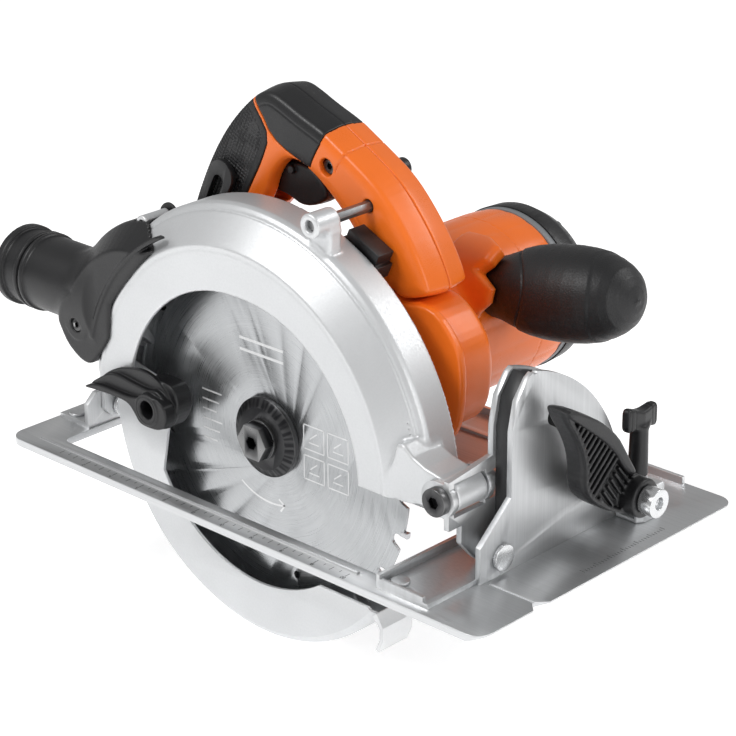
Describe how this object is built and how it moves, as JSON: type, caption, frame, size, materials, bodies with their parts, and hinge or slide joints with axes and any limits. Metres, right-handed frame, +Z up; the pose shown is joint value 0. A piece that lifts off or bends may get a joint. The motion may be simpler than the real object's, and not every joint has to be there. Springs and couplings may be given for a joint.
{
  "type": "circular saw",
  "caption": "Hand-held sidewinder circular saw: toothed blade under fixed and swinging guards, D handle, front knob, dust spigot, tilting and height-adjustable sole.",
  "frame": {"origin": "bottom face of the sole plate, directly under the spindle axis and in the middle plane of the blade (in the blade slot)", "axes": "+X cutting direction (front), -Y blade side, +Y motor side, +Z up from the workpiece"},
  "size_m": [0.365, 0.24, 0.268],
  "materials": {
    "sole_metal": "satin die-cast",
    "cast_metal": "satin die-cast",
    "gear_metal": "raw die-cast",
    "pressed_steel": "zinc plated",
    "bright_steel": "polished",
    "blade_steel": "ground",
    "carbide": "sintered",
    "dark_steel": "black oxide",
    "black_paint": "satin black",
    "orange_plastic": "satin orange",
    "black_plastic": "fine texture",
    "soft_grip": "textured",
    "grey_plastic": "satin",
    "lamination": "stacked sheets",
    "enamel_wire": "enamelled copper",
    "brass_part": "plain",
    "copper_bars": "turned copper",
    "graphite": "carbon"
  },
  "bodies": {
    "base": {"sole_plate": "sole_metal", "front_quadrant": "pressed_steel", "rear_bracket": "pressed_steel", "sole_rivets": "pressed_steel", "hinge_pins": "bright_steel", "guide_clamp": "cast_metal"},
    "guide_screw": {"guide_wing_screw": "black_plastic"},
    "tilt_frame": {"front_tilt_plate": "pressed_steel", "bevel_liner": "black_plastic", "rear_tilt_arm": "pressed_steel", "depth_guide": "black_paint", "guide_rivets": "pressed_steel", "bevel_bolt": "bright_steel", "depth_pivot_bolt": "dark_steel", "lock_nuts": "pressed_steel"},
    "bevel_clamp": {"bevel_lever": "black_plastic"},
    "saw": {"upper_guard": "cast_metal", "dust_port": "black_plastic", "gear_housing": "gear_metal", "motor_housing": "orange_plastic", "trim_ring": "grey_plastic", "end_cap": "black_plastic", "handle_shell_blade_side": "orange_plastic", "handle_shell_motor_side": "orange_plastic", "handle_top_cap": "black_plastic", "handle_grip": "soft_grip", "casing_screws": "dark_steel", "front_knob": "soft_grip", "front_knob_screw": "bright_steel", "switch_block": "grey_plastic", "depth_stud": "bright_steel", "stator": "lamination", "stator_coils": "enamel_wire", "brush_holders": "brass_part", "carbon_brushes": "graphite", "motor_bearings": "bright_steel", "spindle_bearings": "bright_steel", "guard_circlip": "pressed_steel", "guard_spring": "dark_steel"},
    "trigger": {"switch_trigger": "black_plastic"},
    "lock_off": {"lock_off_button": "black_plastic"},
    "key": {"hex_key": "dark_steel"},
    "spindle_stop": {"spindle_lock": "black_plastic"},
    "depth_clamp": {"depth_lever": "black_plastic"},
    "rotor": {"armature_shaft": "bright_steel", "armature_core": "lamination", "armature_windings": "enamel_wire", "commutator": "copper_bars", "cooling_fan": "grey_plastic", "pinion": "bright_steel"},
    "blade_group": {"spindle": "bright_steel", "spindle_gear": "pressed_steel", "inner_flange": "dark_steel", "blade": "blade_steel", "carbide_tips": "carbide", "outer_flange": "dark_steel", "blade_bolt": "dark_steel"},
    "swing_guard": {"lower_guard": "cast_metal", "guard_lever": "black_plastic", "guard_lever_screw": "dark_steel"}
  },
  "joints": [
    {"name": "bevel_tilt", "type": "hinge", "parent": "base", "child": "tilt_frame", "pos_m": [0, 0.003, 0.013], "axis": [1, 0, 0], "range_deg": [0, 45]},
    {"name": "depth_adjust", "type": "hinge", "parent": "tilt_frame", "child": "saw", "pos_m": [0.129, 0, 0.044], "axis": [0, 1, 0], "range_deg": [0, 27]},
    {"name": "guide_screw_turn", "type": "hinge", "parent": "base", "child": "guide_screw", "pos_m": [0.1516, 0.095, 0.03], "axis": [0, 0, 1], "continuous": true},
    {"name": "bevel_lever_turn", "type": "hinge", "parent": "tilt_frame", "child": "bevel_clamp", "pos_m": [0.16, 0.06926, 0.0283], "axis": [1, 0, 0], "range_deg": [-45, 0]},
    {"name": "depth_lever_turn", "type": "hinge", "parent": "saw", "child": "depth_clamp", "pos_m": [-0.07987, 0.03, 0.03671], "axis": [0, 1, 0], "range_deg": [0, 50]},
    {"name": "lower_guard_swing", "type": "hinge", "parent": "saw", "child": "swing_guard", "pos_m": [0, 0, 0.03], "axis": [0, 1, 0], "range_deg": [0, 120], "stiffness_Nm_per_rad": 0.25, "springref_deg": -57.3},
    {"name": "blade_spin", "type": "hinge", "parent": "saw", "child": "blade_group", "pos_m": [0, 0, 0.03], "axis": [0, 1, 0], "continuous": true},
    {"name": "motor_spin", "type": "hinge", "parent": "saw", "child": "rotor", "pos_m": [0.01, 0, 0.063], "axis": [0, 1, 0], "continuous": true},
    {"name": "trigger_press", "type": "hinge", "parent": "saw", "child": "trigger", "pos_m": [-0.016, 0.042, 0.154], "axis": [0, 1, 0], "range_deg": [0, 10], "stiffness_Nm_per_rad": 0.4, "springref_deg": -11.46},
    {"name": "lock_off_press", "type": "slide", "parent": "saw", "child": "lock_off", "axis": [0, -1, 0], "range_m": [0, 0.003], "stiffness_N_per_m": 300, "springref_m": -0.003},
    {"name": "spindle_lock_press", "type": "slide", "parent": "saw", "child": "spindle_stop", "axis": [-0.4226, 0, -0.9063], "range_m": [0, 0.003], "stiffness_N_per_m": 400, "springref_m": -0.003},
    {"name": "hex_key_pull", "type": "slide", "parent": "saw", "child": "key", "axis": [0, -1, 0], "range_m": [0, 0.05]}
  ],
  "couplings": [
    {"joint": "motor_spin", "follows": "blade_spin", "ratio": -3.0588}
  ]
}
